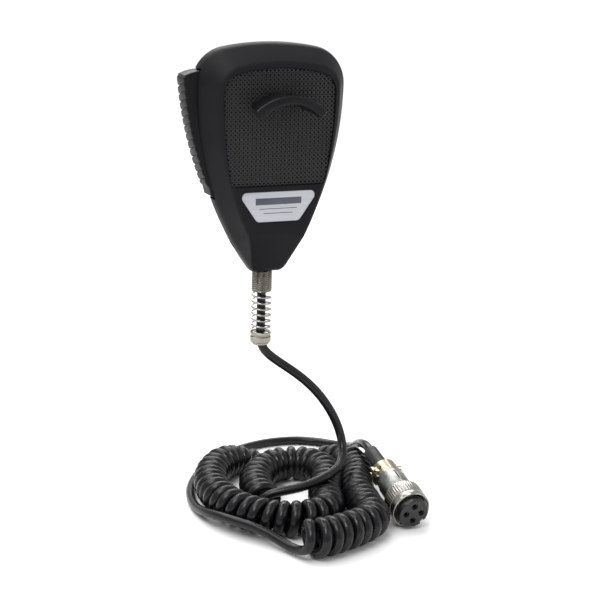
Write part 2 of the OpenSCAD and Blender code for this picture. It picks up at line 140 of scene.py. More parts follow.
def finish_mesh(obj, angle=35.0):
    """Outward normals and smooth shading, with edges sharper than the angle kept sharp."""
    mesh = obj.data
    work = bmesh.new()
    work.from_mesh(mesh)
    bmesh.ops.recalc_face_normals(work, faces=work.faces)
    work.to_mesh(mesh)
    work.free()
    mesh.shade_smooth()
    mesh.set_sharp_from_angle(angle=math.radians(angle))


def make(name, verts, faces, material, angle=35.0, place=None):
    """A mesh object from points in millimetres."""
    mesh = bpy.data.meshes.new(name)
    turn = place or Matrix.Identity(4)
    mesh.from_pydata([tuple((turn @ Vector(v)) * MM) for v in verts], [], faces)
    mesh.validate()
    obj = bpy.data.objects.new(name, mesh)
    bpy.context.collection.objects.link(obj)
    if material is not None:
        mesh.materials.append(material)
    finish_mesh(obj, angle)
    return obj


def apply_modifiers(obj):
    """Writes the modifiers' result into the mesh."""
    graph = bpy.context.evaluated_depsgraph_get()
    graph.update()
    mesh = bpy.data.meshes.new_from_object(obj.evaluated_get(graph))
    obj.modifiers.clear()
    old = obj.data
    obj.data = mesh
    bpy.data.meshes.remove(old)


def cut(obj, cutters):
    """Takes the cutters out of the object and removes them."""
    for cutter in cutters:
        mod = obj.modifiers.new("cut", "BOOLEAN")
        mod.operation = "DIFFERENCE"
        mod.solver = "EXACT"
        mod.object = cutter
        apply_modifiers(obj)
        mesh = cutter.data
        bpy.data.objects.remove(cutter)
        bpy.data.meshes.remove(mesh)


def soften(obj, width, segments=2, angle=32.0):
    """Rounds the edges by a width in millimetres."""
    mod = obj.modifiers.new("soften", "BEVEL")
    mod.width = width * MM
    mod.segments = segments
    mod.limit_method = "ANGLE"
    mod.angle_limit = math.radians(angle)
    mod.harden_normals = False
    mod.use_clamp_overlap = True
    apply_modifiers(obj)
    finish_mesh(obj, 50.0)


def loft(rings):
    """Points and faces of a closed solid through rings with the same number of points."""
    n = len(rings[0])
    verts = [p for ring in rings for p in ring]
    faces = [(i * n + k, i * n + (k + 1) % n, (i + 1) * n + (k + 1) % n, (i + 1) * n + k)
             for i in range(len(rings) - 1) for k in range(n)]
    faces.append(tuple(range(n - 1, -1, -1)))
    faces.append(tuple(range((len(rings) - 1) * n, len(rings) * n)))
    return verts, faces


def lathe(profile, n=96, closed=True):
    """Turns a line of (radius, height) round Z. A closed profile makes a tube with a bore."""
    verts = [(r * math.cos(2 * math.pi * k / n), r * math.sin(2 * math.pi * k / n), z)
             for r, z in profile for k in range(n)]
    rows = len(profile)
    last = rows if closed else rows - 1
    faces = [(i * n + k, i * n + (k + 1) % n, ((i + 1) % rows) * n + (k + 1) % n,
              ((i + 1) % rows) * n + k) for i in range(last) for k in range(n)]
    if not closed:
        faces.append(tuple(range(n - 1, -1, -1)))
        faces.append(tuple(range((rows - 1) * n, rows * n)))
    return verts, faces


def prism(outline, near, far):
    """A prism along Y from distance near to distance far in front of the hanger button."""
    return loft([[(x, -near, z) for x, z in outline], [(x, -far, z) for x, z in outline]])


def block(low, high):
    """A box between two corners."""
    xs, ys, zs = zip(low, high)
    ring = [(xs[0], ys[0]), (xs[1], ys[0]), (xs[1], ys[1]), (xs[0], ys[1])]
    return loft([[(x, y, z) for x, y in ring] for z in zs])


def drum(at, near, far, r, n=48):
    """A round cutter along Y at a place in the plane of the front."""
    return prism(arc(at, r, 0, 2 * math.pi, n, True), near, far)


def tube(points, radius, sides=10, start=Vector((0, 0, 1))):
    """Points and faces of a closed tube along a line, carried without twisting."""
    verts, faces = [], []
    n = len(points)
    side = None
    for i, p in enumerate(points):
        ahead = (points[min(i + 1, n - 1)] - points[max(i - 1, 0)]).normalized()
        side = start if side is None else side
        side = (side - ahead * side.dot(ahead)).normalized()
        other = ahead.cross(side)
        r = radius[i] if isinstance(radius, list) else radius
        for k in range(sides):
            a = 2 * math.pi * k / sides
            verts.append(p + side * (r * math.cos(a)) + other * (r * math.sin(a)))
    for i in range(n - 1):
        for k in range(sides):
            m = (k + 1) % sides
            faces.append((i * sides + k, i * sides + m, (i + 1) * sides + m, (i + 1) * sides + k))
    faces.append(tuple(range(sides - 1, -1, -1)))
    faces.append(tuple(range((n - 1) * sides, n * sides)))
    return verts, faces


def join_shapes(shapes):
    """Several (points, faces) as one."""
    verts, faces = [], []
    for v, f in shapes:
        base = len(verts)
        verts += v
        faces += [tuple(i + base for i in face) for face in f]
    return verts, faces


def add(obj, body, *nodes, slot=None):
    """The piece rides on a body, and stands for the CAD nodes."""
    if nodes:
        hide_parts(*nodes)
    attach(obj, body)
    return obj


# --- materials --------------------------------------------------------------------


class Look:
    """A node material: a principled shader with colour, roughness and bump from noise."""

    def __init__(self, name, color, roughness, metallic=0.0, **sockets):
        self.material = bpy.data.materials.new(name)
        self.material.use_nodes = True
        self.tree = self.material.node_tree
        self.shader = self.tree.nodes["Principled BSDF"]
        self.shader.inputs["Base Color"].default_value = (*color, 1.0)
        self.shader.inputs["Roughness"].default_value = roughness
        self.shader.inputs["Metallic"].default_value = metallic
        for key, value in sockets.items():
            self.shader.inputs[key.replace("_", " ")].default_value = value
        self.color = color
        self.roughness = roughness
        self.coords = self.tree.nodes.new("ShaderNodeTexCoord")
        self.bump = None

    def link(self, a, b):
        self.tree.links.new(a, b)

    def mapped(self, scale):
        node = self.tree.nodes.new("ShaderNodeMapping")
        node.inputs["Scale"].default_value = scale
        self.link(self.coords.outputs["Object"], node.inputs["Vector"])
        return node.outputs["Vector"]

    def noise(self, scale, detail=3.0, stretch=(1, 1, 1), rough=0.5):
        node = self.tree.nodes.new("ShaderNodeTexNoise")
        node.inputs["Scale"].default_value = scale
        node.inputs["Detail"].default_value = detail
        node.inputs["Roughness"].default_value = rough
        self.link(self.mapped(stretch), node.inputs["Vector"])
        return node.outputs["Fac"]

    def ranged(self, value, low, high, from_low=0.3, from_high=0.7):
        node = self.tree.nodes.new("ShaderNodeMapRange")
        node.inputs["From Min"].default_value = from_low
        node.inputs["From Max"].default_value = from_high
        node.inputs["To Min"].default_value = low
        node.inputs["To Max"].default_value = high
        self.link(value, node.inputs["Value"])
        return node.outputs["Result"]

    def vary_color(self, value, low, high, from_low=0.3, from_high=0.7):
        """Colour between low and high times the base colour."""
        ramp = self.tree.nodes.new("ShaderNodeValToRGB")
        ramp.color_ramp.elements[0].position = from_low
        ramp.color_ramp.elements[1].position = from_high
        ramp.color_ramp.elements[0].color = (*[c * low for c in self.color], 1)
        ramp.color_ramp.elements[1].color = (*[min(1, c * high) for c in self.color], 1)
        self.link(value, ramp.inputs["Fac"])
        self.link(ramp.outputs["Color"], self.shader.inputs["Base Color"])
        return self

    def vary_roughness(self, value, low, high):
        self.link(self.ranged(value, low, high), self.shader.inputs["Roughness"])
        return self

    def add_bump(self, value, strength, distance):
        node = self.tree.nodes.new("ShaderNodeBump")
        node.inputs["Strength"].default_value = strength
        node.inputs["Distance"].default_value = distance
        self.link(value, node.inputs["Height"])
        if self.bump is not None:
            self.link(self.bump.outputs["Normal"], node.inputs["Normal"])
        self.bump = node
        self.link(node.outputs["Normal"], self.shader.inputs["Normal"])
        return self


def black_plastic(name, color=(0.0068, 0.0069, 0.008), roughness=0.48, shine=0.11):
    look = Look(name, color, roughness, Specular_IOR_Level=shine)
    cloud = look.noise(28.0, 4.0)
    look.vary_color(cloud, 0.86, 1.18)
    look.vary_roughness(look.noise(90.0, 5.0), roughness - 0.06, roughness + 0.08)
    look.add_bump(look.noise(2600.0, 2.0, rough=0.6), 0.28, 0.00006)
    look.add_bump(look.noise(240.0, 3.0), 0.10, 0.0001)
    return look.material


def nickel(name, color=(0.36, 0.35, 0.32), roughness=0.22, brushed=(1, 1, 1)):
    look = Look(name, color, roughness, 1.0)
    look.vary_color(look.noise(120.0, 4.0), 0.88, 1.1)
    look.vary_roughness(look.noise(300.0, 4.0, brushed), roughness - 0.06, roughness + 0.12)
    look.add_bump(look.noise(900.0, 3.0, brushed), 0.08, 0.00004)
    return look.material


def cord_rubber(name):
    look = Look(name, (0.0048, 0.0049, 0.0058), 0.28, Specular_IOR_Level=0.3)
    look.vary_color(look.noise(60.0, 3.0), 0.85, 1.2)
    look.vary_roughness(look.noise(140.0, 4.0), 0.2, 0.34)
    look.add_bump(look.noise(1500.0, 2.0), 0.1, 0.00004)
    return look.material


def plain(name, color, roughness, metallic=0.0, grain=1400.0, depth=0.00004, strength=0.15):
    look = Look(name, color, roughness, metallic)
    look.vary_color(look.noise(grain * 0.08, 3.0), 0.85, 1.15)
    look.vary_roughness(look.noise(grain * 0.15, 3.0), max(roughness - 0.07, 0.05),
                        roughness + 0.08)
    look.add_bump(look.noise(grain, 2.0), strength, depth)
    return look.material


def felt(name):
    look = Look(name, (0.006, 0.006, 0.0065), 0.95, Sheen_Weight=0.04)
    look.vary_color(look.noise(900.0, 3.0), 0.6, 1.6)
    look.add_bump(look.noise(1800.0, 4.0), 0.6, 0.0002)
    return look.material


def brushed_badge(name):
    look = Look(name, (0.42, 0.43, 0.46), 0.42, 0.55)
    look.vary_color(look.noise(700.0, 3.0, (0.06, 1, 1)), 0.93, 1.07)
    look.vary_roughness(look.noise(800.0, 3.0, (0.05, 1, 1)), 0.36, 0.5)
    look.add_bump(look.noise(2200.0, 2.0, (0.04, 1, 1)), 0.05, 0.00003)
    return look.material


CASE = black_plastic("case_plastic")
BAR = black_plastic("bar_plastic", (0.0062, 0.0063, 0.0069), 0.4, 0.1)
GUIDE = black_plastic("guide_plastic", (0.006, 0.0061, 0.0068), 0.28, 0.14)
MESH = plain("mesh_paint", (0.0085, 0.0085, 0.009), 0.34, 0.0, 1800.0)
FELT = felt("felt")
BADGE = brushed_badge("badge_metal")
BADGE_DARK = plain("badge_inlay", (0.05, 0.055, 0.075), 0.4)
NICKEL = nickel("nickel_plate")
THREAD = nickel("nickel_thread", (0.3, 0.285, 0.25), 0.26)
NICKEL_WARM = nickel("nickel_clamp", (0.4, 0.365, 0.28), 0.24)
SPRING = nickel("spring_wire", (0.4, 0.39, 0.37), 0.2)
STEEL = nickel("plain_steel", (0.5, 0.5, 0.5), 0.34)
SATIN = nickel("satin_plate", (0.3, 0.3, 0.285), 0.3, (1, 1, 0.2))
CORD = cord_rubber("cord_jacket")
SLEEVE = plain("sleeve_rubber", (0.009, 0.009, 0.0098), 0.5)
INSERT = plain("insert_moulding", (0.0065, 0.0065, 0.007), 0.32)
BRASS = nickel("brass_contact", (0.16, 0.15, 0.13), 0.36)
DARK_SCREW = plain("black_screw", (0.035, 0.035, 0.038), 0.36, 0.6)
PHENOLIC = plain("phenolic", (0.12, 0.06, 0.035), 0.5)
RED = plain("red_plastic", (0.45, 0.09, 0.05), 0.4)
BOARD = plain("board", (0.04, 0.16, 0.07), 0.42)
WIRE = plain("wire_jacket", (0.4, 0.05, 0.05), 0.42)

# --- the cord ------------------------------------------------------------------------

UPPER = [(0, -20, -58), (0, -20, -72), (0, -20, -86), (0, -20, -97.9),
         (1.7, -20.4, -101.2), (6.5, -21.5, -105.4), (13, -23.5, -110), (19.5, -26, -115),
         (25.5, -28.5, -121), (30.5, -30.8, -128), (34.5, -32.2, -135.5), (37, -33, -142.5),
         (37.2, -35.8, -148.6), (34.6, -41, -152.3), (30, -46.5, -153.8), (24.5, -51, -154.3),
         (19, -54, -154.9), (14, -55, -156.3), (8.5, -54.6, -158.2), (3, -53.2, -159.2),
         (-2, -51.2, -159.3)]
CURL = [(-6.5, -49.5), (-6.2, -39.5), (-4, -29), (0.5, -18.5), (8, -9.5), (17.5, -4.6),
        (26.8, -5.8), (33, -12), (34.5, -20.8), (32.3, -29.6), (28, -38), (24, -46),
        (20.8, -53.8), (18, -61.8), (13, -68), (5, -71), (-4, -69.8), (-11.5, -65.5),
        (-17.5, -58.5), (-21.8, -50), (-24.2, -40.5), (-24.6, -30.5), (-23.2, -20.2),
        (-20, -10.2), (-14.8, -1.2), (-7.7, 5.9), (1.5, 11), (11, 13.6), (21, 13.8),
        (31.5, 10.7), (40.5, 4.6), (47.5, -4), (51.4, -13.5), (51.2, -23.2), (47.3, -33),
        (41.6, -43), (37.6, -53), (36, -61.5), (34, -69.5), (33.2, -76.5), (30, -82.8),
        (23.8, -87.2), (16, -90.4), (8, -93), (0, -94.8), (-8, -95)]
THIN_FROM, THIN_TO, THIN_R = 26, 31, 4.6
WIDE_FROM, WIDE_R = 40, 9.3
LOWER = [(-9.4, -93, -171.6), (-12, -86.6, -170.8), (-15.4, -79.6, -168.8),
         (-21.4, -70.6, -166.8), (-26.6, -63, -166.4), (-31, -54.5, -166.8), (-34, -45, -168.2),
         (-34.8, -34, -170.4), (-33.6, -22.5, -171.6), (-30.6, -11, -171.8),
         (-25.6, 0.5, -171.8), (-18, 12, -171.8), (-8.5, 22.5, -171.8), (3.5, 32, -171.8),
         (17, 38.6, -171.8), (31.5, 41.6, -171.8), (45.5, 40, -171.8), (56, 34, -171.8),
         (61.8, 24.5, -170.8), (63.3, 13.5, -168), (61.6, 2.5, -163.8), (58.9, -7.8, -158.6),
         (56.5, -17.3, -155), (54.9, -25.2, -153.2), (54.05, -31.85, -153.75),
         (53.6, -40.6, -155.78)]
PITCH_MM = 5.5            # distance from one turn to the next
POINTS_PER_TURN = 24


def curl_radius(i):
    """Radius of the coil at a place along its route."""
    def is_thin(k):
        return 1 if THIN_FROM < k < THIN_TO else 0
    top = len(CURL) - 1
    ease = (is_thin(max(i - 1, 0)) + 2 * is_thin(i) + is_thin(min(i + 1, top))) / 4
    widened = max(0, i - WIDE_FROM) / (top - WIDE_FROM)
    return CURL_R + (THIN_R - CURL_R) * ease + (WIDE_R - CURL_R) * widened


def coil_line():
    """The centreline of the turns, from the microphone's end to the plug's end."""
    base = [Vector((x, y, curl_radius(i))) for i, (x, y) in enumerate(CURL)]
    fine = resample(catmull(base, 12), 0.5)
    n = len(fine)
    out = []
    turn = 0.0
    last = None
    for i, p in enumerate(fine):
        r = p.z
        ahead = fine[min(i + 2, n - 1)] - fine[max(i - 2, 0)]
        ahead.z = 0
        ahead.normalize()
        side = Vector((ahead.y, -ahead.x, 0))
        if last is not None:
            turn += 2 * math.pi * (p - last).length / (PITCH_MM if r > 6 else PITCH_MM * 2.6)
        last = p
        # the turns wander a little, as a used cord's do
        wander = 0.35 * math.sin(turn * 0.37) + 0.25 * math.sin(turn * 0.113 + 1.3)
        coil_r = r - TURN_D / 2 - 0.1
        out.append((turn, p, ahead, side, coil_r, wander))
    # whole turns and a half: the first turn starts at its top, the last one ends at its foot
    total = out[-1][0]
    whole = 2 * math.pi * (math.floor(total / (2 * math.pi)) + 0.5)
    stretch = whole / total
    steps = int(total / (2 * math.pi) * POINTS_PER_TURN)
    line = []
    k = 0
    for s in range(steps + 1):
        want = total * s / steps
        while k < len(out) - 2 and out[k + 1][0] < want:
            k += 1
        a, b = out[k], out[min(k + 1, len(out) - 1)]
        t = (want - a[0]) / max(b[0] - a[0], 1e-9)
        p = a[1].lerp(b[1], t)
        ahead = a[2].lerp(b[2], t)
        side = a[3].lerp(b[3], t)
        coil_r = lerp(a[4], b[4], t)
        wander = lerp(a[5], b[5], t)
        angle = math.pi / 2 + want * stretch
        line.append(Vector((p.x, p.y, GROUND + p.z))
                    + side * (coil_r * math.cos(angle))
                    + Vector((0, 0, 1)) * (coil_r * math.sin(angle))
                    + ahead * wander)
    return line


def joined(first, second):
    """Two lines in one, with the corner between them rounded."""
    bridge = catmull([first[-8], first[-4], second[3], second[7]], 8)[9:16]
    line = resample(first[:-3] + bridge + second[3:], 1.6)
    middle = int(sum((b - a).length for a, b in zip(first, first[1:])) / 1.6)
    low, high = max(0, middle - 14), middle + 14
    return line[:low] + relax(line[low:high], 30) + line[high:]


def build_cord():
    coil = coil_line()
    upper = relax(resample(catmull([Vector(p) for p in UPPER], 12), 1.6), 8)
    lower = resample(catmull([Vector(p) for p in LOWER], 12), 1.6)
    line = joined(joined(upper, coil), lower)
    begin, end = len(upper), len(line) - len(lower)
    data = bpy.data.curves.new("cord", "CURVE")
    data.dimensions = "3D"
    data.bevel_depth = CORD_D / 2 * MM
    data.bevel_resolution = 3
    data.use_fill_caps = True
    spline = data.splines.new("POLY")
    spline.points.add(len(line) - 1)
    for i, (point, p) in enumerate(zip(spline.points, line)):
        point.co = (*(p * MM), 1.0)
        coiled = max(0.0, min(1.0, (i - begin) / 12, (end - i) / 12))
        point.radius = lerp(1.0, TURN_D / CORD_D, coiled)
    spline.use_smooth = True
    data.materials.append(CORD)
    obj = bpy.data.objects.new("cord", data)
    bpy.context.collection.objects.link(obj)
    length = sum((b - a).length for a, b in zip(line, line[1:]))
    return obj, length


cord, cord_length = build_cord()
add(cord, BODY, "upper_lead", "curly_cord", "lower_lead", slot="cord_black")

# --- outlines ---------------------------------------------------------------------


def half_shield(w, top, foot, cr, fr, kr, br, inset):
    """Half of the shield outline: crown, corner, flank and foot."""
    corner_x = w - cr
    corner_z = top - kr + math.sqrt((kr - cr) ** 2 - corner_x ** 2)
    flank = (w - fr, corner_z)
    crown = (0.0, top - kr)
    crown_a = math.atan2(corner_z - crown[1], corner_x)
    foot_z = foot + br
    foot_x = flank[0] + math.sqrt((fr - br) ** 2 - (corner_z - foot_z) ** 2)
    flank_a = math.atan2(foot_z - corner_z, foot_x - flank[0])
    foot_r = br - inset if inset < br - 0.8 else 0.8 * (br - 0.8) / inset
    return (arc(crown, kr - inset, math.pi / 2, crown_a, 14)
            + arc((corner_x, corner_z), cr - inset, crown_a, 0, 18, True)
            + arc(flank, fr - inset, 0, flank_a, 26, True)
            + arc((foot_x, foot_z), foot_r, flank_a, -math.pi / 2, 7, True))


def mirrored(half):
    return half + [(-x, z) for x, z in reversed(half)][:-1]


def case_outline(inset=0.0):
    return mirrored(half_shield(35.5, 42, -62, 17, 142, 118, 3, inset))


def face_outline(inset=0.0):
    return mirrored(half_shield(28.2, 34, -43, 10, 150, 90, 2.5, inset))


def grille_outline(inset=0.0):
    return mirrored(half_shield(26.5, 32, -20.2, 9, 200, 80, 3, inset))


def back_outline(inset=0.0):
    return mirrored(half_shield(25.6, 34, -51, 13, 150, 110, 3, inset))


def badge_outline(grow=0.0):
    corners = [(15.2, -24.9, 90, -35), (8.9, -33.9, -35, -90), (-8.9, -33.9, -90, -145),
               (-15.2, -24.9, 215, 90)]
    out = []
    for x, z, a, b in corners:
        out += arc((x, z), 2.3 + grow, math.radians(a), math.radians(b), 8)
    return out


def at_depth(outline, depth):
    return [Vector((x, -depth, z)) for x, z in outline]


def mix(a, b, t):
    return [p.lerp(q, t) for p, q in zip(a, b)]


def round_over(a, b, c, n):
    """Rings of a soft corner from ring a to ring c, pulled towards ring b."""
    return [mix(mix(a, b, i / n), mix(b, c, i / n), i / n) for i in range(n + 1)]


# --- the case ----------------------------------------------------------------------

JOINT = 14.0
BELT = 20.0
BEVEL = 26.5
FRONT = 38.0
BACK = 2.5
DRAFT = 2.7
WALL = 2.2
GUIDE_OUT = 12.5
SCREWS = ((-18.5, 30.5), (18.5, 30.5), (0, -33))


def build_front():
    belt = at_depth(case_outline(), BELT)
    edge = at_depth(case_outline(), BEVEL)
    face = at_depth(face_outline(), FRONT)
    inner = at_depth(face_outline(3.2), FRONT)
    joint = at_depth(case_outline(DRAFT), JOINT + 0.35)
    rings = [at_depth(case_outline(DRAFT + 0.6), JOINT),
             at_depth(case_outline(DRAFT + 0.35), JOINT + 0.02)]
    rings += round_over(at_depth(case_outline(DRAFT + 0.3), JOINT + 0.05), joint,
                        mix(joint, belt, 0.08), 3)[1:]
    rings += round_over(mix(joint, belt, 0.7), belt, mix(belt, edge, 0.3), 5)
    rings += round_over(mix(belt, edge, 0.6), edge, mix(edge, face, 0.16), 8)
    rings += round_over(mix(edge, face, 0.86), face, mix(face, inner, 0.6), 8)
    obj = make("case_front", *loft(rings), CASE)
    hollow = [at_depth(case_outline(DRAFT + WALL), 13), at_depth(case_outline(WALL), BELT),
              at_depth(case_outline(WALL), BEVEL), at_depth(face_outline(WALL - 0.5), 34.2),
              at_depth(face_outline(WALL), 34.8)]
    cutters = [make("c0", *loft(hollow), None),
               make("c1", *prism(grille_outline(), 36.3, 39.5), None),
               make("c2", *prism(grille_outline(1.6), 34.0, 36.5), None),
               make("c3", *prism(badge_outline(0.15), 37.0, 39.5), None),
               make("c4", *block((-46, -26.85, -27.2), (-22.6, -16.15, 30.8)), None)]
    cut(obj, cutters)
    soften(obj, 0.22)
    return add(obj, BODY, "front_shell", slot="case_black")


def build_rear():
    joint = at_depth(case_outline(DRAFT), JOINT - 0.35)
    wide = at_depth(back_outline(-3.4), 5.4)
    flat = at_depth(back_outline(), BACK + 0.1)
    inner = at_depth(back_outline(2.2), BACK)
    rings = [at_depth(case_outline(DRAFT + 0.6), JOINT),
             at_depth(case_outline(DRAFT + 0.35), JOINT - 0.02)]
    rings += round_over(at_depth(case_outline(DRAFT + 0.3), JOINT - 0.05), joint,
                        mix(joint, wide, 0.06), 3)[1:]
    rings += round_over(mix(joint, wide, 0.7), wide, mix(wide, flat, 0.5), 6)
    rings += round_over(mix(wide, flat, 0.6), flat, inner, 5)
    obj = make("case_rear", *loft(rings), CASE)
    hollow = [at_depth(case_outline(DRAFT + WALL), JOINT + 1),
              at_depth(case_outline(DRAFT + WALL), JOINT - 2),
              at_depth(back_outline(WALL - 3.4), 7.6), at_depth(back_outline(WALL), BACK + WALL)]
    cutters = [make("c", *loft(hollow), None)]
    cutters += [make("c", *drum(at, 1.5, 7.0, 3.1), None) for at in SCREWS]
    for row in range(5):
        for side in (-1, 1):
            z = 12 + 3.2 * row
            cutters.append(make("c", *block((side * 7.5 - 5.5, -6.5, z - 0.7),
                                            (side * 7.5 + 5.5, -1, z + 0.7)), None))
    cut(obj, cutters)
    soften(obj, 0.2)
    return add(obj, BODY, "rear_shell", slot="case_black")


build_front()
build_rear()


def sleeve_post(at, near, far, r, bore):
    """A hollow post along Y."""
    turn = Matrix.Translation((at[0], 0, at[1])) @ Matrix.Rotation(math.radians(90), 4, "X")
    verts, faces = lathe([(bore, near), (r, near), (r, far), (bore, far)], 40)
    return [turn @ Vector(v) for v in verts], faces


def build_posts():
    """The bosses inside the two shells, and the block that holds the bushing."""
    front = [sleeve_post(at, JOINT + 0.1, 34.6, 3.0, 1.5) for at in SCREWS]
    front += [sleeve_post(at, 20, 36.5, 2.1, 1.05) for at in ((-9, -24), (9, -24))]
    front += [sleeve_post(at, 25.5, 32, 2.0, 1.05) for at in ((-19.75, 1.5), (-19.75, 18.5))]
    front += [block((-31, -31, z - 1.5), (-20.8, -27.2, z + 1.5)) for z in (1.5, 18.5)]
    front += [sleeve_post(at, 22.2, 33.2, 2.4, 1.05) for at in ((-7, -44), (7, -44))]
    front.append(sleeve_post((-22, -20), 27.1, 33.4, 2.6, 1.02))
    front += [block((x, -26, -58.5), (x + 2, -14.2, -55.2)) for x in (-7, 5)]
    add(make("front_posts", *join_shapes(front), CASE, 30.0), BODY)
    rear = [sleeve_post(at, 7.0, JOINT - 0.1, 4.0, 1.6) for at in SCREWS]
    rear.append(sleeve_post((-22, -20), 7.5, 16.1, 2.6, 1.02))
    rear.append(sleeve_post((0, 0), 4.5, 7.0, 5.0, 2.05))
    add(make("rear_posts", *join_shapes(rear), CASE, 30.0), BODY)


build_posts()


def build_mesh():
    """Woven wire in two directions, cut to the grille's outline."""
    outline = grille_outline(0.25)
    pitch = 1.4
    wire = 0.24
    lift = 0.2
    depth = FRONT - 0.95

    def inside(x, z):
        hit = False
        for (x0, z0), (x1, z1) in zip(outline, outline[1:] + outline[:1]):
            if (z0 > z) != (z1 > z) and x < (x1 - x0) * (z - z0) / (z1 - z0) + x0:
                hit = not hit
        return hit

    shapes = []
    step = pitch / 4
    half = 46.0
    count = int(half / pitch)
    root = math.sqrt(0.5)
    for family in (0, 1):
        for i in range(-count, count + 1):
            v = (i + 0.5) * pitch
            run = []
            for k in range(-int(half / step), int(half / step) + 1):
                u = k * step
                a, b = (u, v) if family == 0 else (v, u)
                x, z = (a - b) * root, (a + b) * root + 6
                if inside(x, z):
                    phase = math.pi * u / pitch + math.pi * i
                    sign = 1 if family == 0 else -1
                    run.append(Vector((x, -depth - sign * lift * math.cos(phase), z)))
                elif run:
                    if len(run) > 2:
                        shapes.append(tube(run, wire, 6, Vector((0, 1, 0))))
                    run = []
    obj = make("grille", *join_shapes(shapes), MESH, 60.0)
    return add(obj, BODY, "grille_mesh", slot="mesh_black")


build_mesh()


def build_guide():
    """The lip guide: a crescent that stands out from the mesh."""
    def edge(grow):
        pts = arc((0, -25.2), 25.2 + grow, math.radians(50), math.radians(130), 30)
        pts += arc((-14.8, -7.2), 1.9 + grow, math.radians(145), math.radians(300), 9)
        pts += arc((0, -22.4), 18.6 - grow, math.radians(136), math.radians(44), 26)
        pts += arc((14.8, -7.2), 1.9 + grow, math.radians(240), math.radians(395), 9)
        return pts

    def ring(grow, scale, depth):
        return [Vector((x * scale, -depth, z * scale + 21.1)) for x, z in edge(grow)]

    tip = FRONT + GUIDE_OUT
    rings = [ring(0, 0.8, FRONT - 0.8), ring(0, 0.81, FRONT)]
    rings += [ring(0, lerp(0.8, 1.0, t), FRONT + t * GUIDE_OUT) for t in (0.25, 0.5, 0.75)]
    rings += [ring(-r, 1.0, tip - d) for r, d in
              ((0, 1.1), (0.06, 0.75), (0.18, 0.45), (0.38, 0.2), (0.65, 0.05), (0.95, 0.0))]
    obj = make("lip_guide", *loft(rings), GUIDE, 40.0)
    return add(obj, BODY, "lip_guide", slot="case_black")


build_guide()


def build_badge():
    rings = [at_depth(badge_outline(grow), FRONT - behind)
             for grow, behind in ((0, 1), (0, 0.4), (-0.06, 0.28), (-0.2, 0.25))]
    obj = make("badge", *loft(rings), BADGE, 40.0)
    add(obj, BODY, "badge_plate", slot="badge_silver")
    bars = [block((-11.0, -FRONT + 0.16, -28.4), (11.0, -FRONT + 0.4, -25.4)),
            block((-9.0, -FRONT + 0.18, -30.4), (9.0, -FRONT + 0.4, -30.1)),
            block((-7.0, -FRONT + 0.18, -32.4), (7.0, -FRONT + 0.4, -32.1))]
    inlay = make("badge_bars", *join_shapes(bars), BADGE_DARK)
    soften(inlay, 0.07)
    add(inlay, BODY)


build_badge()

# --- the talk bar ------------------------------------------------------------------

BAR_TOP = 27.3
BAR_CENTRE = (165 - 41.5, 40.5)
RIBS = 14


def bar_x(z):
    return BAR_CENTRE[0] - math.sqrt(165.0 ** 2 - (z - BAR_CENTRE[1]) ** 2)


def bar_profile(shrink, depth):
    """Outline of the talk bar with its ribs, drawn in by shrink. The ribs lean with depth."""
    low = BAR_TOP - 49.0
    outer = []
    span = (BAR_TOP - low) / RIBS
    for i in range(RIBS):
        top = BAR_TOP - i * span
        for t, out in ((0.02, -0.55), (0.08, -0.12), (0.16, 0.04), (0.34, 0.14), (0.6, 0.14),
                       (0.8, 0.03), (0.9, -0.14), (0.97, -0.55)):
            z = top - t * span
            z += 0.3 * (depth - 21.5) * min(1, (BAR_TOP - z) / 4, (z - low) / 4)
            outer.append((bar_x(z) - out + shrink, z))
    rest = [(-27.6, -25.6), (-26, -26.3), (-23.5, -25.6), (-21, -23.2), (-18.8, -20),
            (-19.6, -17.2), (-26.5, -8), (-28.6, 1), (-28.9, 8.4), (-24.3, 9), (-24.3, 15),
            (-28.9, 15.6), (-29.2, 22), (-28.4, 30.1), (-29.6, 30.3), (-34.8, 29.8), (-38, 29.0),
            (-40.4, 28.0)]
    centre = Vector((-30, 2))
    inner = []
    for x, z in rest:
        d = Vector((x, z)) - centre
        d = d * (1 - shrink / max(d.length, 1))
        inner.append((centre.x + d.x, centre.y + d.y))
    return outer + inner


def build_bar():
    steps = [(0.6, 0.0), (0.25, 0.12), (0.08, 0.35), (0.0, 0.7)]
    rings = [[(x, -16.5 - d, z) for x, z in bar_profile(s, 16.5 + d)] for s, d in steps]
    rings += [[(x, -26.5 + d, z) for x, z in bar_profile(s, 26.5 - d)] for s, d in reversed(steps)]
    obj = make("talk_bar_grip", *loft(rings), BAR, 40.0)
    return add(obj, "talk_bar", "talk_bar", slot="case_black")


build_bar()

# --- bushing, spring and collar ------------------------------------------------------


def on_axis(z=0.0):
    return Matrix.Translation((0, AXIS_Y, z))


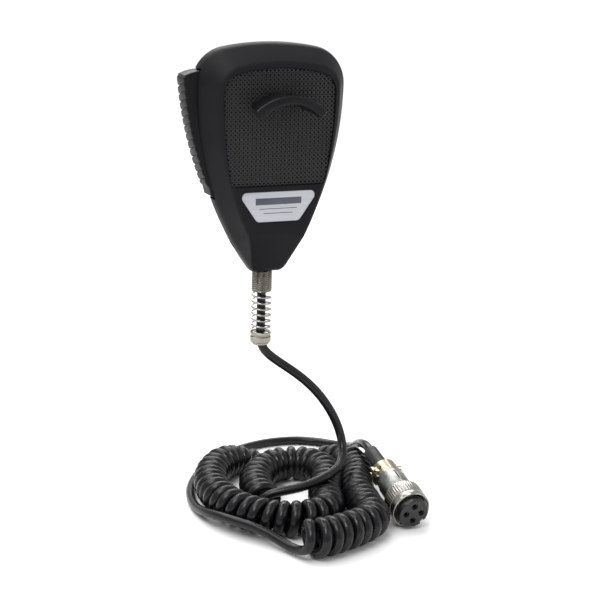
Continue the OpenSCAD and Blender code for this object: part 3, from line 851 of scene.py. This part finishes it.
def build_bushing():
    """A fine thread: the wall's radius follows a helix."""
    n, pitch, top, low, r = 72, 0.95, -56.0, -72.4, 4.85
    rows = int((top - low) / pitch * 10)
    bore = CORD_D / 2 + 0.35
    verts, faces = [], []
    for i in range(rows + 1):
        z = lerp(low, top, i / rows)
        end = min(1.0, (z - low) / 0.7)
        for k in range(n):
            a = 2 * math.pi * k / n
            phase = (z / pitch - k / n) % 1.0
            tooth = abs(phase - 0.5) * 2
            radius = r - 0.02 - 0.55 * min(1.0, max(0.0, tooth * 1.25 - 0.1)) * (0.4 + 0.6 * end)
            radius -= 0.35 * (1 - end)
            verts.append((radius * math.cos(a), radius * math.sin(a), z))
    for i in range(rows):
        for k in range(n):
            m = (k + 1) % n
            faces.append((i * n + k, i * n + m, (i + 1) * n + m, (i + 1) * n + k))
    base = len(verts)
    for z in (low, low + 6):
        for k in range(n):
            a = 2 * math.pi * k / n
            verts.append((bore * math.cos(a), bore * math.sin(a), z))
    for k in range(n):
        m = (k + 1) % n
        faces.append((k, m, base + m, base + k))
        faces.append((base + k, base + m, base + n + m, base + n + k))
    faces.append(tuple(range(base + n, base + 2 * n)))
    faces.append(tuple(range(rows * n, (rows + 1) * n)))
    obj = make("bushing", verts, faces, THREAD, 30.0, on_axis())
    return add(obj, BODY, "threaded_bushing", slot="nickel")


def build_spring():
    wire, r = 0.46, 4.39
    top, low, turns = -72.4 - 0.46, -91.6 + 0.46, 6.5
    line = []
    steps = int(28 * turns)
    for i in range(steps + 1):
        t = i / steps
        a = 2 * math.pi * turns * t
        line.append(Vector((r * math.cos(a), r * math.sin(a), lerp(top, low, t))))
    obj = make("relief_spring", *tube(line, wire, 10), SPRING, 60.0, on_axis())
    return add(obj, BODY, "strain_spring", slot="nickel")


def build_collar():
    top = -91.6
    bore = CORD_D / 2 + 0.02
    profile = [(bore, 0), (4.2, 0), (4.72, -0.12), (4.9, -0.35), (4.9, -1.3), (4.75, -1.5),
               (4.3, -1.6), (4.25, -2.2), (4.7, -2.3), (4.9, -2.5), (4.9, -4.7), (4.72, -4.95),
               (4.2, -5.1), (4.05, -5.2), (4.0, -6.0), (3.8, -6.2), (bore, -6.2)]
    obj = make("collar", *lathe(profile), THREAD, 30.0, on_axis(top))
    return add(obj, BODY, "cord_collar", slot="nickel")


build_bushing()
build_spring()
build_collar()


def build_hanger():
    """The round button on the back that hangs in a clip."""
    turn = Matrix.Rotation(math.radians(-90), 4, "X")
    profile = [(2.0, -10.4), (2.0, -2.5), (3.1, -2.5), (3.1, 0.0), (5.9, 0.0), (6.25, 0.12),
               (6.35, 0.4), (6.35, 1.6), (6.2, 1.95), (5.7, 2.2), (4.4, 2.36), (2.4, 2.4),
               (0.05, 2.4)]
    obj = make("hanger", *lathe(profile, 72, False), NICKEL, 30.0, turn)
    return add(obj, BODY, "hanger_button", slot="nickel")


build_hanger()

# --- the plug ------------------------------------------------------------------------

PLUG = (Matrix.Translation(PLUG_AT) @ Matrix.Rotation(math.radians(PLUG_TURN), 4, "Z")
        @ Matrix.Rotation(math.radians(90 + PLUG_TILT), 4, "X"))


def build_sleeve():
    bore = CORD_D / 2 + 0.1
    profile = [(bore, -50.0), (3.1, -50.0), (3.35, -49.8), (3.42, -49.4), (3.5, -44), (3.62, -40),
               (3.72, -36), (3.86, -33), (3.8, -32.5), (bore, -32.5)]
    obj = make("sleeve", *lathe(profile, 64), SLEEVE, 35.0, PLUG)
    return add(obj, BODY, "plug_sleeve", slot="rubber_black")


def build_shell():
    profile = [(5.4, -25.3), (6.2, -25.3), (6.5, -25.15), (6.6, -24.8), (6.6, -22.2), (6.75, -22.0),
               (7.0, -21.9), (7.1, -21.6), (7.1, -14.0), (6.95, -13.9), (6.95, -13.5), (7.1, -13.4),
               (7.1, -5.1), (7.35, -5.1), (7.35, -3.8), (5.4, -3.8)]
    obj = make("plug_shell_body", *lathe(profile, 96), SATIN, 30.0, PLUG)
    cutters = [make("c", *block((-0.35, 5.0, -22.6), (0.35, 9, -14.6)), None, place=PLUG)]
    cut(obj, cutters)
    soften(obj, 0.12)
    return add(obj, BODY, "plug_shell", slot="satin_metal")


def build_ring():
    """The lock ring: a straight knurl behind a plain bright rim."""
    n = 240
    teeth = 48
    outer = [(8.3, -11.4, 0), (8.7, -11.3, 0), (8.75, -10.9, 0), (9.05, -10.7, 0), (9.15, -10.4, 1),
             (9.15, -7.4, 1), (9.15, -4.4, 1), (9.05, -4.1, 0), (8.85, -4.0, 0), (8.85, -3.4, 0),
             (9.1, -3.25, 0), (9.2, -2.9, 0), (9.2, -0.6, 0), (9.1, -0.25, 0), (8.9, -0.08, 0),
             (8.7, 0.0, 0), (8.45, -0.05, 0), (8.3, -0.2, 0), (8.2, -1.2, 0)]
    pitch = 1.0
    inner = []
    z = -1.5
    while z > -8.0:
        inner += [(7.5, z, 0), (7.95, z - pitch / 2, 0)]
        z -= pitch
    inner += [(7.45, -8.2, 0), (7.2, -8.3, 0), (7.2, -11.4, 0)]
    profile = outer + inner
    verts = []
    for r, z, knurl in profile:
        for k in range(n):
            a = 2 * math.pi * k / n
            rise = 0.16 * (0.5 + 0.5 * math.cos(teeth * a)) if knurl else 0.0
            at = r - 0.12 * knurl + rise
            verts.append((at * math.cos(a), at * math.sin(a), z))
    rows = len(profile)
    faces = [(i * n + k, i * n + (k + 1) % n, ((i + 1) % rows) * n + (k + 1) % n,
              ((i + 1) % rows) * n + k) for i in range(rows) for k in range(n)]
    obj = make("lock_ring_body", verts, faces, NICKEL, 28.0, PLUG)
    return add(obj, "lock_ring", "plug_lock_ring", slot="nickel")


CONTACT_AT = 3.7          # distance of each contact from the plug's axis


def build_insert():
    """The moulded insert with its contact wells and key slot."""
    profile = [(5.3, -18), (5.38, -17.8), (5.38, -3.9), (7.25, -3.8), (7.25, 2.4),
               (7.12, 2.75), (6.8, 3.0), (6.1, 3.0), (5.95, 2.8), (0.05, 2.8)]
    obj = make("plug_insert_body", *lathe(profile, 96, False), INSERT, 35.0, PLUG)
    cutters = []
    for i in range(4):
        a = math.radians(90 * i)
        centre = (CONTACT_AT * math.cos(a), CONTACT_AT * math.sin(a))
        well = loft([[(x, y, z) for x, y in arc(centre, 1.5, 0, 2 * math.pi, 40)[:-1]]
                     for z in (-19.0, 5.0)])
        cutters.append(make("c", *well, None, place=PLUG))
    key = PLUG @ Matrix.Rotation(math.radians(45), 4, "Z")
    cutters.append(make("c", *block((-1.1, -8.0, -3.0), (1.1, -5.6, 4.0)), None, place=key))
    cut(obj, cutters)
    soften(obj, 0.14)
    return add(obj, BODY, "plug_insert", slot="insert_black")


build_sleeve()
build_shell()
build_ring()
build_insert()

# --- CAD nodes that are shown as they are ------------------------------------------------

CARRIED = {
    "wind_screen": FELT, "mic_cartridge": STEEL, "cartridge_boot": SLEEVE, "rear_port_cloth": FELT,
    "talk_bar_pin": STEEL, "talk_bar_spring": SPRING, "switch_body": PHENOLIC,
    "switch_plunger": RED, "switch_terminals": BRASS, "switch_screws": STEEL,
    "terminal_board": BOARD, "board_screws": STEEL, "inner_wires": WIRE, "cord_clamp": STEEL,
    "cord_clamp_screws": STEEL, "hanger_nut": STEEL, "case_screws": DARK_SCREW,
    "bushing_nut": NICKEL, "plug_clamp": NICKEL_WARM, "plug_clamp_screws": NICKEL_WARM,
    "plug_ring_clip": STEEL, "plug_contacts": BRASS, "plug_set_screw": STEEL,
}
SOFT_EDGED = ("plug_clamp", "plug_clamp_screws", "case_screws", "plug_contacts")
for node, material in CARRIED.items():
    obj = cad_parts[node]
    for place in obj.material_slots:
        place.material = material
    if not obj.material_slots:
        obj.data.materials.append(material)
    if node in SOFT_EDGED:
        mod = obj.modifiers.new("soften", "BEVEL")
        mod.width = 0.18 * MM
        mod.segments = 2
        mod.limit_method = "ANGLE"
        mod.angle_limit = math.radians(50)

# --- floor and light ---------------------------------------------------------------------


def add_stage():
    """A plain pale floor at the height that the cord lies on."""
    size = 6000.0
    look = Look("floor", (0.9, 0.9, 0.9), 0.8)
    look.vary_color(look.noise(3.0, 2.0), 0.99, 1.01)
    floor = make("floor", [(-size, -size, GROUND), (size, -size, GROUND), (size, size, GROUND),
                           (-size, size, GROUND)], [(0, 1, 2, 3)], look.material)


def area_light(name, at, target, size, power):
    data = bpy.data.lights.new(name, "AREA")
    data.shape = "RECTANGLE"
    data.size, data.size_y = size
    data.energy = power
    light = bpy.data.objects.new(name, data)
    way = Vector(target) - Vector(at)
    light.matrix_world = (Matrix.Translation(at)
                          @ way.to_track_quat("-Z", "Y").to_matrix().to_4x4())
    bpy.context.collection.objects.link(light)


add_stage()
area_light("key", (-0.55, -0.55, 0.85), (0, -0.03, -0.06), (0.5, 0.5), 7.0)
area_light("fill", (0.85, -0.75, 0.35), (0, -0.03, -0.06), (0.8, 0.8), 2.0)
area_light("back", (0.3, 0.9, 0.6), (0, 0, -0.05), (0.8, 0.4), 5.0)
sun = bpy.data.lights.new("sky", "SUN")
sun.energy = 1.75
sun.angle = math.radians(50)
overhead = bpy.data.objects.new("sky", sun)
overhead.rotation_euler = (math.radians(-18), math.radians(-14), 0)
bpy.context.collection.objects.link(overhead)
world = bpy.data.worlds.new("world")
world.use_nodes = True
world.node_tree.nodes["Background"].inputs["Color"].default_value = (1, 1, 1, 1)
world.node_tree.nodes["Background"].inputs["Strength"].default_value = 0.62
bpy.context.scene.world = world
bpy.context.scene.view_settings.view_transform = "Standard"
